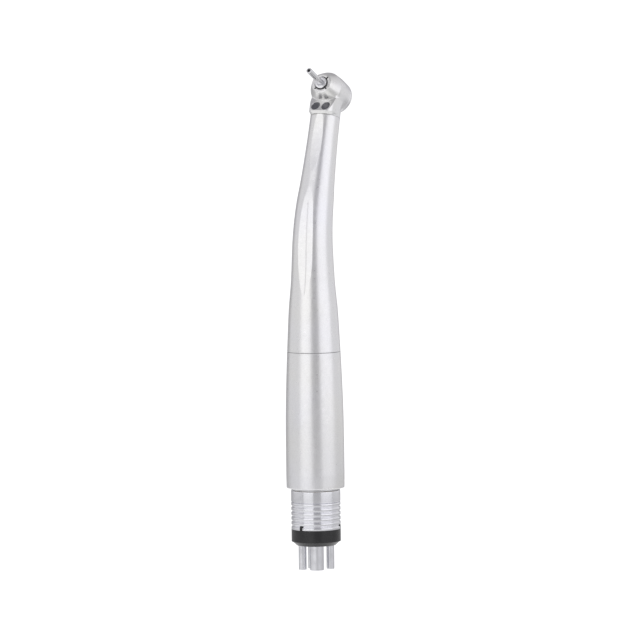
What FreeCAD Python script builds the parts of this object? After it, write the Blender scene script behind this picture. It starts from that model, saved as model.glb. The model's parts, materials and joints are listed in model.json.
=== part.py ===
import FreeCAD, Part
import math
import operator
import os

import Sketcher

# High speed dental handpiece on a quick coupler for a four-tube hose.
# Millimetres, +Z up. The origin is the centre of the coupler's rear face; the hose tubes
# point down from it. The neck leans towards +Y and the drill blank points to -Y and up.

V = FreeCAD.Vector
doc = FreeCAD.newDocument("handpiece")
sheet = doc.addObject("Spreadsheet::Sheet", "Sizes")

SIZES = (
    # outside of the handle
    ("collar_radius", 7.0, "ribbed collar and smooth band"),
    ("tail_ring_top", 4.6, "top of the black tail ring"),
    ("collar_top", 12.75, "top of the ribbed collar"),
    ("band_top", 15.7, "top of the smooth band"),
    ("casing_start", 16.3, "lower end of the rear casing"),
    ("casing_radius", 8.27, "thickest part of the handle"),
    ("seam_height", 55.0, "joint of the rear casing and the front body"),
    ("seam_radius", 7.56, "handle at that joint"),
    ("shoulder_height", 67.0, "end of the thick part of the grip"),
    ("shoulder_radius", 6.93, "grip at the shoulder"),
    ("hollow_height", 74.0, "steepest part of the taper"),
    ("hollow_radius", 6.28, "grip there"),
    ("waist_radius", 5.84, "grip where the bend begins"),
    ("bend_start", 82.5, "height where the bend begins"),
    ("bend_radius", 46.0, "centreline radius of the bend"),
    ("bend_angle", 18.4, "turn of the neck in degrees"),
    ("bend_end_radius", 5.22, "body where the bend ends"),
    ("neck_length", 33.2, "end of the bend to the centre of the head"),
    ("neck_radius", 4.2, "thin end of the neck"),
    ("shell_wall", 0.8, "wall of the front body"),
    # head
    ("bur_angle", 66.4, "bur axis from upright in degrees"),
    ("head_radius", 4.95, "head at the back cap"),
    ("face_height", 5.5, "head centre to the front face"),
    ("face_radius", 2.9, "flat of the front face"),
    ("cap_joint", 3.35, "head centre back to the joint of the cap"),
    ("cap_end", 6.45, "head centre back to the rim of the cap"),
    ("chamber_radius", 4.2, "turbine chamber"),
    ("collar_reach", 8.1, "head centre to the joint with the neck"),
    ("window_angle", 48.0, "aim of the light windows above level in degrees"),
    ("window_spacing", 3.09, "between the two window centres"),
    ("window_half_width", 1.2, "window, side to side"),
    ("window_half_length", 1.55, "window, along the head"),
    ("window_depth", 1.9, "window centre behind the face"),
    ("window_distance", 6.15, "window centre from the bur axis"),
    # turbine and chuck
    ("spindle_radius", 1.5875, "spindle in its bearings"),
    ("spindle_nose_radius", 1.45, "spindle end seen in the face"),
    ("nose_collar_radius", 1.72, "collar at the tip of the spindle"),
    ("bearing_radius", 3.175, "bearing outside"),
    ("bearing_width", 2.3, "bearing along the axis"),
    ("ball_radius", 0.5, "bearing balls"),
    ("ball_circle", 2.38, "ball centres"),
    ("front_bearing_at", 2.1, "middle of the front bearing"),
    ("rear_bearing_at", 3.4, "middle of the rear bearing, behind the head centre"),
    ("wheel_radius", 3.95, "turbine wheel over its blades"),
    ("wheel_front", 0.75, "front of the wheel"),
    ("wheel_back", 2.05, "back of the wheel, behind the head centre"),
    ("pin_radius", 0.8, "shank of the drill blank"),
    ("pin_tip", 15.0, "head centre to the tip of the blank"),
    ("pin_back", 2.7, "rear end of the blank, behind the head centre"),
    # coupler
    ("plate_radius", 5.35, "tail plate that holds the tubes"),
    ("plate_thickness", 2.6, "tail plate"),
    ("barrel_radius", 5.6, "coupler barrel inside the collar"),
    ("nose_radius", 4.8, "plug that enters the handpiece"),
    ("nose_end", 44.0, "front end of the plug"),
    ("nose_bore", 3.6, "inside of the plug"),
    ("running_gap", 0.08, "radial gap of the plug in its socket"),
    ("fit_gap", 0.02, "radial gap of parts fixed together"),
    ("tube_reach", 7.0, "tubes below the rear face"),
    ("exhaust_radius", 1.98, "exhaust tube"),
    ("drive_radius", 1.6, "drive air tube"),
    ("small_tube_radius", 1.12, "water tube and chip air tube"),
    ("small_tube_offset", 4.0, "water and chip air tubes from the axis"),
    ("tube_wall", 0.3, "wall of the tubes"),
    ("tube_shoulder", 0.18, "step by which each tube seats in the tail plate"),
    ("tube_seat", 0.1, "depth of that step inside the rear face"),
    ("tube_hole_top", 9.3, "ends of the tube holes in the barrel"),
    ("tube_turn", 33.5, "turn of the tube pattern about the axis in degrees"),
    ("rib_pitch", 1.37, "step from groove to groove of the collar"),
    ("tab_turn", 14, "turn of the small tabs away from the front"),
    # springs and seals
    ("collar_spring_radius", 5.86, "middle of the wire of the collar spring"),
    ("collar_spring_back", 3.85, "rear end of the collar spring"),
    ("collar_spring_front", 10.95, "front end of the collar spring"),
    ("chuck_spring_radius", 1.085, "middle of the wire of the chuck spring"),
    ("chuck_spring_back", -3.3, "rear end of the chuck spring, from the head centre"),
    ("chuck_spring_front", -0.92, "front end of the chuck spring, from the head centre"),
    ("casing_seal_radius", 6.38, "middle of the seal ring of the casing"),
    ("cap_seal_radius", 4.04, "middle of the O-ring of the back cap"),
    ("front_damper_radius", 3.365, "middle of the front damper ring"),
    ("rear_damper_radius", 3.375, "middle of the rear damper ring"),
)


class Size:
    """A number that keeps the formula by which the sheet gives it."""

    def __init__(self, value, text):
        self.value = float(value)
        self.text = text

    def __add__(self, other):
        return joined(self, "+", other)

    def __radd__(self, other):
        return joined(other, "+", self)

    def __sub__(self, other):
        return joined(self, "-", other)

    def __rsub__(self, other):
        return joined(other, "-", self)

    def __mul__(self, other):
        return joined(self, "*", other)

    def __rmul__(self, other):
        return joined(other, "*", self)

    def __truediv__(self, other):
        return joined(self, "/", other)

    def __neg__(self):
        return joined(0, "-", self)


OPERATIONS = {"+": operator.add, "-": operator.sub, "*": operator.mul, "/": operator.truediv}


def number(amount):
    return amount.value if isinstance(amount, Size) else float(amount)


def formula(amount):
    return amount.text if isinstance(amount, Size) else "%.6f" % float(amount)


def joined(left, sign, right):
    value = OPERATIONS[sign](number(left), number(right))
    return Size(value, "(%s %s %s)" % (formula(left), sign, formula(right)))


def sine(angle):
    return Size(math.sin(math.radians(number(angle))), "sin(%s)" % formula(angle))


def cosine(angle):
    return Size(math.cos(math.radians(number(angle))), "cos(%s)" % formula(angle))


def fill_sheet():
    """Write the driving dimensions and hand them back by name."""
    named = {}
    for row, (alias, value, meaning) in enumerate(SIZES, start=1):
        sheet.set("A%d" % row, meaning)
        sheet.set("B%d" % row, str(value))
        sheet.setAlias("B%d" % row, alias)
        named[alias] = Size(value, "Sizes." + alias)
    doc.recompute()
    return named


D = fill_sheet()

# ---------------------------------------------------------------- helpers


def bind(thing, path, amount):
    """Tie one property to the sheet; a plain number is already set."""
    if isinstance(amount, Size):
        thing.setExpression(path, amount.text)


def placed(thing, at, turn=0):
    """Place a sub-part, turned about the X direction."""
    base = V(*[number(c) for c in at])
    thing.Placement = FreeCAD.Placement(base, FreeCAD.Rotation(V(1, 0, 0), number(turn)))
    for axis, amount in zip("xyz", at):
        bind(thing, "Placement.Base." + axis, amount)
    bind(thing, "Placement.Rotation.Angle", turn)
    return thing


def new_body(label, at=(0, 0, 0), turn=0):
    body = doc.addObject("PartDesign::Body", label)
    body.Label = label
    return placed(body, at, turn)


def origin_part(body, role):
    return [f for f in body.Origin.OriginFeatures if f.Role == role][0]


def sketch_on(body, role, at=(0, 0, 0), turn=0, axis=V(1, 0, 0)):
    """Sketch on an origin plane, shifted by `at` and turned about one of its own axes."""
    sketch = body.newObject("Sketcher::SketchObject", body.Label + "_sketch")
    sketch.AttachmentSupport = [(origin_part(body, role), "")]
    sketch.MapMode = "FlatFace"
    base = V(*[number(c) for c in at])
    sketch.AttachmentOffset = FreeCAD.Placement(base, FreeCAD.Rotation(axis, number(turn)))
    for name, amount in zip("xyz", at):
        bind(sketch, "AttachmentOffset.Base." + name, amount)
    bind(sketch, "AttachmentOffset.Rotation.Angle", turn)
    return sketch


def fix(sketch, kind, geometry, point, amount):
    """Hold one coordinate of a point, measured from the sketch origin."""
    index = sketch.addConstraint(
        Sketcher.Constraint(kind, -1, 1, geometry, point, number(amount)))
    bind(sketch, "Constraints[%d]" % index, amount)


def fix_point(sketch, geometry, point, across, up):
    fix(sketch, "DistanceX", geometry, point, across)
    fix(sketch, "DistanceY", geometry, point, up)


def measure(sketch, kind, geometry, amount):
    index = sketch.addConstraint(Sketcher.Constraint(kind, geometry, number(amount)))
    bind(sketch, "Constraints[%d]" % index, amount)


def outline(sketch, corners):
    """Closed outline of straight edges through the given corners."""
    first = sketch.GeometryCount
    count = len(corners)
    spots = [V(number(a), number(b), 0) for a, b in corners]
    for i in range(count):
        sketch.addGeometry(Part.LineSegment(spots[i], spots[(i + 1) % count]), False)
    for i in range(count):
        following = first + (i + 1) % count
        sketch.addConstraint(Sketcher.Constraint("Coincident", first + i, 2, following, 1))
    for i, (across, up) in enumerate(corners):
        fix_point(sketch, first + i, 1, across, up)
    return sketch


def disc(sketch, radius, across=0, up=0):
    """Circle of this radius about a point."""
    centre = V(number(across), number(up), 0)
    circle = sketch.addGeometry(Part.Circle(centre, V(0, 0, 1), number(radius)), False)
    measure(sketch, "Radius", circle, radius)
    fix_point(sketch, circle, 3, across, up)
    return sketch


def oval(sketch, half_width, half_length, across, up):
    """Ellipse, longer upwards than across."""
    centre = V(number(across), number(up), 0)
    top = centre + V(0, number(half_length), 0)
    side = centre - V(number(half_width), 0, 0)
    ellipse = sketch.addGeometry(Part.Ellipse(top, side, centre), False)
    sketch.exposeInternalGeometry(ellipse)
    sketch.addConstraint(Sketcher.Constraint("Vertical", ellipse + 1))
    measure(sketch, "Distance", ellipse + 1, 2 * half_length)
    measure(sketch, "Distance", ellipse + 2, 2 * half_width)
    fix_point(sketch, ellipse, 3, across, up)
    return sketch


def feature(body, kind, profile, **settings):
    """One PartDesign feature made from a sketch."""
    made = body.newObject("PartDesign::" + kind, body.Label + "_" + kind.lower())
    made.Profile = profile
    for name, value in settings.items():
        setattr(made, name, number(value) if isinstance(value, Size) else value)
        bind(made, name, value)
    profile.Visibility = False
    return made


def turned(body, corners):
    """Solid of revolution about the body's Z axis; corners are (radius, height)."""
    sketch = outline(sketch_on(body, "XZ_Plane"), corners)
    axis = (origin_part(body, "Z_Axis"), [""])
    return feature(body, "Revolution", sketch, ReferenceAxis=axis, Angle=360)


def turned_groove(body, sketch):
    axis = (origin_part(body, "Z_Axis"), [""])
    return feature(body, "Groove", sketch, ReferenceAxis=axis, Angle=360)


def ring_corners(inner, outer, low, high):
    return [(inner, low), (outer, low), (outer, high), (inner, high)]


def turned_part(label, corners, at=(0, 0, 0), turn=0):
    body = new_body(label, at, turn)
    turned(body, corners)
    return body


def around(body, original, count):
    """Repeat a feature about the body's Z axis."""
    pattern = body.newObject("PartDesign::PolarPattern", body.Label + "_pattern")
    pattern.Originals = [original]
    pattern.Axis = (origin_part(body, "Z_Axis"), [""])
    pattern.Angle = 360
    pattern.Occurrences = count
    body.Tip = pattern
    return pattern


def dress(body, kind, size, rims):
    """Fillet or chamfer the circular rims given as (radius, height)."""
    doc.recompute()
    tip = body.Tip
    names = []
    for place, edge in enumerate(tip.Shape.Edges, start=1):
        if not isinstance(edge.Curve, Part.Circle):
            continue
        centre = edge.Curve.Center
        for radius, height in rims:
            same = abs(edge.Curve.Radius - number(radius)) < 0.004
            if same and abs(centre.z - number(height)) < 0.004 and centre.x ** 2 < 1e-6:
                names.append("Edge%d" % place)
    made = body.newObject("PartDesign::" + kind, body.Label + "_" + kind.lower())
    made.Base = (tip, names)
    if kind == "Fillet":
        made.Radius = size
    else:
        made.Size = size
    body.Tip = made
    return made


def o_ring(label, centre_radius, section_radius, heights, at=(0, 0, 0), turn=0):
    """Round-section rings of one size at the given heights."""
    body = new_body(label, at, turn)
    for height in heights:
        sketch = disc(sketch_on(body, "XZ_Plane"), section_radius, centre_radius, height)
        axis = (origin_part(body, "Z_Axis"), [""])
        feature(body, "Revolution", sketch, ReferenceAxis=axis, Angle=360)
    return body


def coil(label, radius, wire, low, high, turns, at=(0, 0, 0), turn=0):
    """Compression spring of round wire."""
    body = new_body(label, at, turn)
    sketch = disc(sketch_on(body, "XZ_Plane"), wire, radius, low)
    axis = (origin_part(body, "Z_Axis"), [""])
    helix = body.newObject("PartDesign::AdditiveHelix", label + "_helix")
    helix.Profile = sketch
    helix.ReferenceAxis = axis
    helix.Mode = "height-turns-angle"
    helix.Height = number(high) - number(low)
    bind(helix, "Height", high - low)
    helix.Turns = turns
    helix.Angle = 0
    sketch.Visibility = False
    return body


# ---------------------------------------------------------------- frames

lean_y = D["bend_radius"] * (1 - cosine(D["bend_angle"]))
lean_z = D["bend_start"] + D["bend_radius"] * sine(D["bend_angle"])
head_y = lean_y + D["neck_length"] * sine(D["bend_angle"])
head_z = lean_z + D["neck_length"] * cosine(D["bend_angle"])
HEAD = dict(at=(0, head_y, head_z), turn=D["bur_angle"])
# In the head's own frame +Z is the bur axis, +Y points away from the neck.
# The neck axis there is turned from -Y by this angle.
neck_tip = 90 - D["bur_angle"] - D["bend_angle"]


def neck_spot(distance, aside=0):
    """Point of the head frame, `distance` down the neck axis and `aside` to the bur side."""
    along = (-distance * cosine(neck_tip) - aside * sine(neck_tip))
    out = (-distance * sine(neck_tip) + aside * cosine(neck_tip))
    return along, out


# ---------------------------------------------------------------- coupler

tube_layout = {
    "exhaust_tube": (-0.3, -2.3, D["exhaust_radius"]),
    "drive_air_tube": (-0.3, 2.9, D["drive_radius"]),
    "water_tube": (-D["small_tube_offset"], 0, D["small_tube_radius"]),
    "chip_air_tube": (D["small_tube_offset"], 0, D["small_tube_radius"]),
}
O_RING_HEIGHTS = (20.0, 26.0, 32.0, 38.0)
tube_tops = {"exhaust_tube": 9.0, "drive_air_tube": 8.0, "water_tube": 6.0, "chip_air_tube": 6.0}


def tube_place(name):
    """Centre of a hose tube, with the whole pattern turned about the axis."""
    across, up, radius = tube_layout[name]
    cos_turn = cosine(D["tube_turn"])
    sin_turn = sine(D["tube_turn"])
    return across * cos_turn - up * sin_turn, across * sin_turn + up * cos_turn, radius


def tube_holes(body, low, high, narrower):
    """Cut the holes of the four tubes from one height to another."""
    for name in tube_layout:
        x, y, radius = tube_place(name)
        hole = radius - narrower + D["fit_gap"]
        sketch = disc(sketch_on(body, "XY_Plane", at=(0, 0, low)), hole, x, y)
        feature(body, "Pocket", sketch, Type="Length", Length=high - low, Reversed=True)


def build_coupler():
    plate = turned_part("tail_plate", ring_corners(0, D["plate_radius"], 0, D["plate_thickness"]))
    dress(plate, "Chamfer", 0.15, [(D["plate_radius"], 0)])
    face = 0 * D["plate_thickness"]
    tube_holes(plate, face, D["plate_thickness"], D["tube_shoulder"])
    tube_holes(plate, face, D["tube_seat"] + D["fit_gap"], face)

    for name, top in tube_tops.items():
        x, y, radius = tube_place(name)
        tube = new_body(name, at=(x, y, -D["tube_reach"]))
        length = D["tube_reach"] + top
        inside = radius - D["tube_wall"]
        seated = radius - D["tube_shoulder"]
        step = D["tube_reach"] + D["tube_seat"]
        turned(tube, [(inside, 0), (radius, 0), (radius, step), (seated, step), (seated, length),
                      (inside, length)])
        dress(tube, "Fillet", 0.1, [(radius, 0), (inside, 0)])

    nose = D["nose_radius"]
    barrel = new_body("coupler_barrel")
    turned(barrel, [
        (0, D["plate_thickness"]),
        (D["barrel_radius"], D["plate_thickness"]),
        (D["barrel_radius"], D["band_top"]),
        (nose, D["band_top"]),
        (nose, D["nose_end"] - 0.6),
        (nose - 0.6, D["nose_end"]),
        (D["nose_bore"], D["nose_end"]),
        (D["nose_bore"], 18.5),
        (0, 18.5),
    ])
    for height in O_RING_HEIGHTS:
        sketch = outline(sketch_on(barrel, "XZ_Plane"), ring_corners(
            nose - 1.16, nose + 0.2, height - 0.66, height + 0.66))
        turned_groove(barrel, sketch)
    tube_holes(barrel, D["plate_thickness"], D["tube_hole_top"], D["tube_shoulder"])
    channel = disc(sketch_on(barrel, "XY_Plane", at=(0, 0, 9.0)), 0.8, 0.9, 1.0)
    feature(barrel, "Pocket", channel, Type="Length", Length=9.8, Reversed=True)
    for height, turn, radius in ((23.0, 0, 0.9), (29.0, 120, 0.5), (35.0, 240, 0.5)):
        port = sketch_on(barrel, "XZ_Plane", at=(0, height, 0), turn=turn, axis=V(0, 1, 0))
        disc(port, radius)
        feature(barrel, "Pocket", port, Type="ThroughAll", Reversed=True)

    band = turned_part("smooth_band", ring_corners(
        D["barrel_radius"] + D["fit_gap"], D["collar_radius"], D["collar_top"] + 0.05, D["band_top"]))
    dress(band, "Fillet", 0.25, [(D["collar_radius"], D["band_top"])])

    turned_part("retaining_clip", ring_corners(
        D["barrel_radius"] + D["fit_gap"], 6.05, 3.0, 3.6))
    o_ring("nose_o_rings", nose - 0.55, 0.59, O_RING_HEIGHTS)

    turned_part("lamp_holder", [
        (0, 39.6), (D["nose_bore"] - D["fit_gap"], 39.6), (D["nose_bore"] - D["fit_gap"], 43.6),
        (3.0, 43.6), (3.0, 42.4), (0, 42.4)])
    lamp = turned_part("led_lamp", [(0, 42.42), (2.96, 42.42), (2.96, 43.7), (2.3, 44.15), (0, 44.3)])
    dress(lamp, "Fillet", 0.3, [(2.96, 43.7)])
    return barrel


build_coupler()


def build_generator():
    """Air-driven generator inside the plug, which feeds the lamp."""
    bore = D["nose_bore"] - D["fit_gap"]
    turned_part("generator_stator", ring_corners(2.75, bore, 22.0, 31.0))
    turned_part("generator_bearing_plate", [
        (0.66, 20.2), (bore, 20.2), (bore, 21.2), (1.6, 21.2), (1.6, 21.7), (0.66, 21.7)])
    turned_part("generator_front_plate", [
        (0.66, 37.0), (bore, 37.0), (bore, 38.0), (0.66, 38.0)])
    turned_part("generator_shaft", ring_corners(0, 0.6, 19.6, 38.6))
    turned_part("generator_magnet", ring_corners(0.6 + D["fit_gap"], 2.6, 22.4, 30.6))
    impeller = new_body("generator_impeller")
    turned(impeller, ring_corners(0.6 + D["fit_gap"], 1.5, 32.4, 35.6))
    blade = sketch_on(impeller, "XY_Plane", at=(0, 0, 32.4))
    outline(blade, [(-0.22, 1.3), (0.22, 1.3), (0.75, 3.3), (0.3, 3.4)])
    fin = feature(impeller, "Pad", blade, Type="Length", Length=3.2)
    around(impeller, fin, 8)


build_generator()


def build_collar():
    outer = D["collar_radius"]
    bore = 6.15
    collar = new_body("release_collar")
    turned(collar, [
        (bore, D["tail_ring_top"] + 0.02), (outer, D["tail_ring_top"] + 0.02),
        (outer, D["collar_top"]), (D["barrel_radius"] + 0.06, D["collar_top"]),
        (D["barrel_radius"] + 0.06, 11.2), (bore, 11.2)])
    dress(collar, "Fillet", 0.15, [(outer, D["collar_top"])])
    first_groove = D["tail_ring_top"] + 1.05
    profile = sketch_on(collar, "XZ_Plane")
    outline(profile, [
        (outer + 0.1, first_groove - 0.36), (outer - 0.28, first_groove - 0.12),
        (outer - 0.28, first_groove + 0.12), (outer + 0.1, first_groove + 0.36)])
    groove = turned_groove(collar, profile)
    ribs = collar.newObject("PartDesign::LinearPattern", "collar_ribs")
    ribs.Originals = [groove]
    ribs.Direction = (origin_part(collar, "Z_Axis"), [""])
    ribs.Length = number(5 * D["rib_pitch"])
    bind(ribs, "Length", 5 * D["rib_pitch"])
    ribs.Occurrences = 6
    collar.Tip = ribs
    notch = sketch_on(
        collar, "XY_Plane", at=(0, 0, D["tail_ring_top"]), turn=-1 * D["tab_turn"], axis=V(0, 0, 1))
    outline(notch, tab_corners(0.04, outer + 1))
    cut = feature(collar, "Pocket", notch, Type="Length", Length=1.3, Reversed=True)
    around(collar, cut, 3)

    ring = new_body("tail_ring")
    turned(ring, [
        (D["plate_radius"] + 0.08, 0), (D["plate_radius"] + 0.2, 0), (6.75, 1.1), (outer, 1.1),
        (outer, D["tail_ring_top"]), (bore, D["tail_ring_top"]), (bore, 1.5),
        (D["plate_radius"] + 0.08, 1.5)])
    face = sketch_on(ring, "XY_Plane", at=(0, 0, D["tail_ring_top"]), turn=-1 * D["tab_turn"], axis=V(0, 0, 1))
    tab = outline(face, tab_corners(0, outer - 0.02))
    stub = feature(ring, "Pad", tab, Type="Length", Length=1.2)
    around(ring, stub, 3)
    coil("collar_spring", D["collar_spring_radius"], 0.2, D["collar_spring_back"],
         D["collar_spring_front"], 5)


def tab_corners(extra, reach):
    """Small tab standing at the front of the ring, a third of a turn from its twins."""
    half = 0.45 + extra
    return [(-half, -reach), (half, -reach), (half, -6.25 + extra), (-half, -6.25 + extra)]


build_collar()
turned_part("swivel_ring", ring_corners(
    D["nose_radius"] + D["running_gap"], 6.9, D["band_top"] + 0.06, D["casing_start"] - 0.06))

# ---------------------------------------------------------------- handle

# Lines inside the neck: x, y from the centreline, outer radius, wall.
LINES = {
    "drive_air_line": (0, 1.45, 1.15, 0.25),
    "water_line": (-2.3, 0.9, 0.42, 0.12),
    "chip_air_line": (2.3, 0.9, 0.42, 0.12),
}
ROD_RADIUS = 0.85
ROD_OFFSET = -1.6


def build_rear():
    inner = 7.1
    casing = new_body("rear_casing")
    turned(casing, [
        (inner, D["casing_start"]),
        (D["casing_radius"] - 0.05, D["casing_start"]),
        (D["casing_radius"], D["casing_start"] + 4),
        (D["casing_radius"] - 0.02, 30.0),
        (D["casing_radius"] - 0.07, 36.0),
        (D["casing_radius"] - 0.2, 42.0),
        (D["seam_radius"] + 0.28, 48.5),
        (D["seam_radius"] + 0.01, D["seam_height"] - 0.05),
        (6.75, D["seam_height"] - 0.05),
        (6.75, 47.3),
        (inner, 47.3)])
    dress(casing, "Fillet", 0.35, [(D["casing_radius"] - 0.05, D["casing_start"])])
    dress(casing, "Chamfer", 0.12, [(D["seam_radius"] + 0.01, D["seam_height"] - 0.05)])

    bore = D["nose_radius"] + D["running_gap"]
    socket = new_body("rear_socket")
    turned(socket, [
        (bore + 0.25, D["casing_start"] + 0.1),
        (inner - D["fit_gap"], D["casing_start"] + 0.1),
        (inner - D["fit_gap"], 20.5),
        (6.0, 20.5), (6.0, 43.5),
        (inner - D["fit_gap"], 43.5),
        (inner - D["fit_gap"], 47.2),
        (0, 47.2), (0, 44.8),
        (bore, 44.8),
        (bore, D["casing_start"] + 0.9)])
    for x, y, radius, _ in LINES.values():
        hole = disc(sketch_on(socket, "XY_Plane", at=(0, 0, 44.7)), radius + D["fit_gap"], x, y)
        feature(socket, "Pocket", hole, Type="Length", Length=2.6, Reversed=True)
    for side in (-0.5, 0.5):
        hole = sketch_on(socket, "XY_Plane", at=(0, 0, 44.7))
        disc(hole, ROD_RADIUS + D["fit_gap"], side * D["window_spacing"], ROD_OFFSET)
        feature(socket, "Pocket", hole, Type="Length", Length=2.6, Reversed=True)
    o_ring("casing_seal_ring", D["casing_seal_radius"], 0.3, (51.0,))


build_rear()

# Outline of the straight part of the front body: height and radius.
TAPER = (
    (D["seam_height"], D["seam_radius"]),
    ((D["seam_height"] + D["shoulder_height"]) / 2, (D["seam_radius"] + D["shoulder_radius"]) / 2 + 0.02),
    (D["shoulder_height"], D["shoulder_radius"]),
    ((D["shoulder_height"] + D["hollow_height"]) / 2, (D["shoulder_radius"] + D["hollow_radius"]) / 2),
    (D["hollow_height"], D["hollow_radius"]),
    ((D["hollow_height"] + D["bend_start"]) / 2, (D["hollow_radius"] + D["waist_radius"]) / 2 - 0.03),
    (D["bend_start"], D["waist_radius"]),
)
# Section circles of the bend and neck: distance along the centreline and radius.
bend_length = D["bend_radius"] * D["bend_angle"] * (math.pi / 180)
bend_finish = D["bend_start"] + bend_length
neck_finish = bend_finish + D["neck_length"] - D["collar_reach"]


def bend_share(share):
    """Radius part of the way round the bend."""
    return D["waist_radius"] + (D["bend_end_radius"] - D["waist_radius"]) * share


SECTIONS = (
    (D["bend_start"], D["waist_radius"]),
    (D["bend_start"] + bend_length / 3, bend_share(1 / 3)),
    (D["bend_start"] + bend_length * (2 / 3), bend_share(2 / 3)),
    (bend_finish, D["bend_end_radius"]),
    (bend_finish + D["neck_length"] * 0.38, D["neck_radius"] + 0.36),
    (bend_finish + D["neck_length"] * 0.6, D["neck_radius"] + 0.06),
    (neck_finish, D["neck_radius"]),
)


def centreline(distance):
    """Point (y, z) and tilt of the centreline at a distance from the origin."""
    start, finish = number(D["bend_start"]), number(bend_finish)
    if number(distance) <= start + 1e-6:
        return 0, distance, 0
    if number(distance) < finish - 1e-6:
        tilt = (distance - D["bend_start"]) * (180 / math.pi) / D["bend_radius"]
        y = D["bend_radius"] * (1 - cosine(tilt))
        z = D["bend_start"] + D["bend_radius"] * sine(tilt)
        return y, z, tilt
    past = distance - bend_finish
    return (lean_y + past * sine(D["bend_angle"]), lean_z + past * cosine(D["bend_angle"]),
            D["bend_angle"])


def section(body, distance, radius):
    y, z, tilt = centreline(distance)
    return disc(sketch_on(body, "XY_Plane", at=(0, y, z), turn=-1 * tilt), radius)


def build_front():
    front = new_body("front_body")
    spigot = 6.72
    corners = [(spigot, 47.9), (spigot, D["seam_height"])]
    corners += [(radius, height) for height, radius in TAPER]
    corners += [(D["waist_radius"] - D["shell_wall"], D["bend_start"])]
    corners += [(D["hollow_radius"] - 0.95, D["hollow_height"]), (5.9, D["shoulder_height"]), (5.9, 47.9)]
    turned(front, corners)
    profile = outline(sketch_on(front, "XZ_Plane"), ring_corners(6.06, 6.9, 50.66, 51.34))
    turned_groove(front, profile)
    rings = [section(front, distance, radius) for distance, radius in SECTIONS]
    feature(front, "AdditiveLoft", rings[0], Sections=rings[1:], Ruled=False, Closed=False)
    hollow = [section(front, distance, radius - D["shell_wall"]) for distance, radius in SECTIONS]
    feature(front, "SubtractiveLoft", hollow[0], Sections=hollow[1:], Ruled=False, Closed=False)
    return front


build_front()


def walk(sketch, start, pieces):
    """Open path of lines and arcs; each piece is its end and, for an arc, its centre and turn."""
    here = start
    last = None
    for end, centre, leftward in pieces:
        a = V(number(here[0]), number(here[1]), 0)
        b = V(number(end[0]), number(end[1]), 0)
        if centre is None:
            item = sketch.addGeometry(Part.LineSegment(a, b), False)
            begin, finish = 1, 2
            fix_point(sketch, item, finish, *end)
        else:
            middle = V(number(centre[0]), number(centre[1]), 0)
            circle = Part.Circle(middle, V(0, 0, 1), (a - middle).Length)
            angle_a = math.atan2(a.y - middle.y, a.x - middle.x)
            angle_b = math.atan2(b.y - middle.y, b.x - middle.x)
            first, second = (angle_a, angle_b) if leftward else (angle_b, angle_a)
            item = sketch.addGeometry(Part.ArcOfCircle(circle, first, second), False)
            begin, finish = (1, 2) if leftward else (2, 1)
            fix_point(sketch, item, 3, *centre)
            fix(sketch, "DistanceY", item, finish, end[1])
        if last is None:
            fix_point(sketch, item, begin, *start)
        else:
            sketch.addConstraint(Sketcher.Constraint("Coincident", last[0], last[1], item, begin))
        last = (item, finish)
        here = end
    return sketch


def neck_path(offset, reach):
    """Path up the handle and neck at a constant offset, ending `reach` past the bend."""
    radius = D["bend_radius"] - offset
    centre = (D["bend_radius"], D["bend_start"])
    bend_top = (D["bend_radius"] - radius * cosine(D["bend_angle"]),
                D["bend_start"] + radius * sine(D["bend_angle"]))
    top = (bend_top[0] + reach * sine(D["bend_angle"]), bend_top[1] + reach * cosine(D["bend_angle"]))
    pieces = [((offset, D["bend_start"]), None, None), (bend_top, centre, False), (top, None, None)]
    return pieces, top


def piped(label, across, start, pieces, profile_radii):
    """Rod or tube swept along a path in a plane parallel to YZ."""
    body = new_body(label)
    profile = sketch_on(body, "XY_Plane", at=(0, 0, start[1]))
    for radius in profile_radii:
        disc(profile, radius, across, start[0])
    spine = walk(sketch_on(body, "YZ_Plane", at=(0, 0, across)), start, pieces)
    doc.recompute()
    pipe = feature(body, "AdditivePipe", profile)
    pipe.Spine = (spine, ["Edge%d" % (i + 1) for i in range(len(pieces))])
    spine.Visibility = False
    return body


LINE_START = 45.0


def build_lines():
    for label, (x, y, radius, wall) in LINES.items():
        pieces, _ = neck_path(y, D["neck_length"] - 5.9)
        piped(label, x, (y, LINE_START), pieces, (radius, radius - wall))
    # The glass rods leave the neck in a tight turn and end just under the windows.
    turn_radius = 2.4
    lean, aim = D["bend_angle"], D["window_angle"]
    along, out = window_spot(1.05)
    end = (head_y + along * cosine(D["bur_angle"]) - out * sine(D["bur_angle"]),
           head_z + along * sine(D["bur_angle"]) + out * cosine(D["bur_angle"]))
    # distances from the neck axis towards the bur side, and up the neck from the bend's end
    aside = (end[1] - lean_z) * sine(lean) - (end[0] - lean_y) * cosine(lean)
    up = (end[1] - lean_z) * cosine(lean) + (end[0] - lean_y) * sine(lean)
    swing = 90 - aim + lean
    straight = (aside + ROD_OFFSET - turn_radius * (1 - cosine(swing))) / sine(swing)
    reach = up - turn_radius * sine(swing) - straight * cosine(swing)
    for label, side in (("light_rod_left", -0.5), ("light_rod_right", 0.5)):
        pieces, top = neck_path(ROD_OFFSET, reach)
        centre = (top[0] - turn_radius * cosine(lean), top[1] + turn_radius * sine(lean))
        turned_to = (centre[0] + turn_radius * sine(aim), centre[1] + turn_radius * cosine(aim))
        pieces = pieces + [(turned_to, centre, True), (end, None, None)]
        piped(label, side * D["window_spacing"], (ROD_OFFSET, LINE_START), pieces, (ROD_RADIUS,))


def window_spot(under=0):
    """Window centre in the head frame (along, out), or a point under it along its aim."""
    lift = D["window_angle"] - 90 + D["bur_angle"]
    along = -D["window_distance"] - under * sine(lift)
    out = D["face_height"] - D["window_depth"] - under * cosine(lift)
    return along, out


build_lines()

# ---------------------------------------------------------------- head


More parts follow.
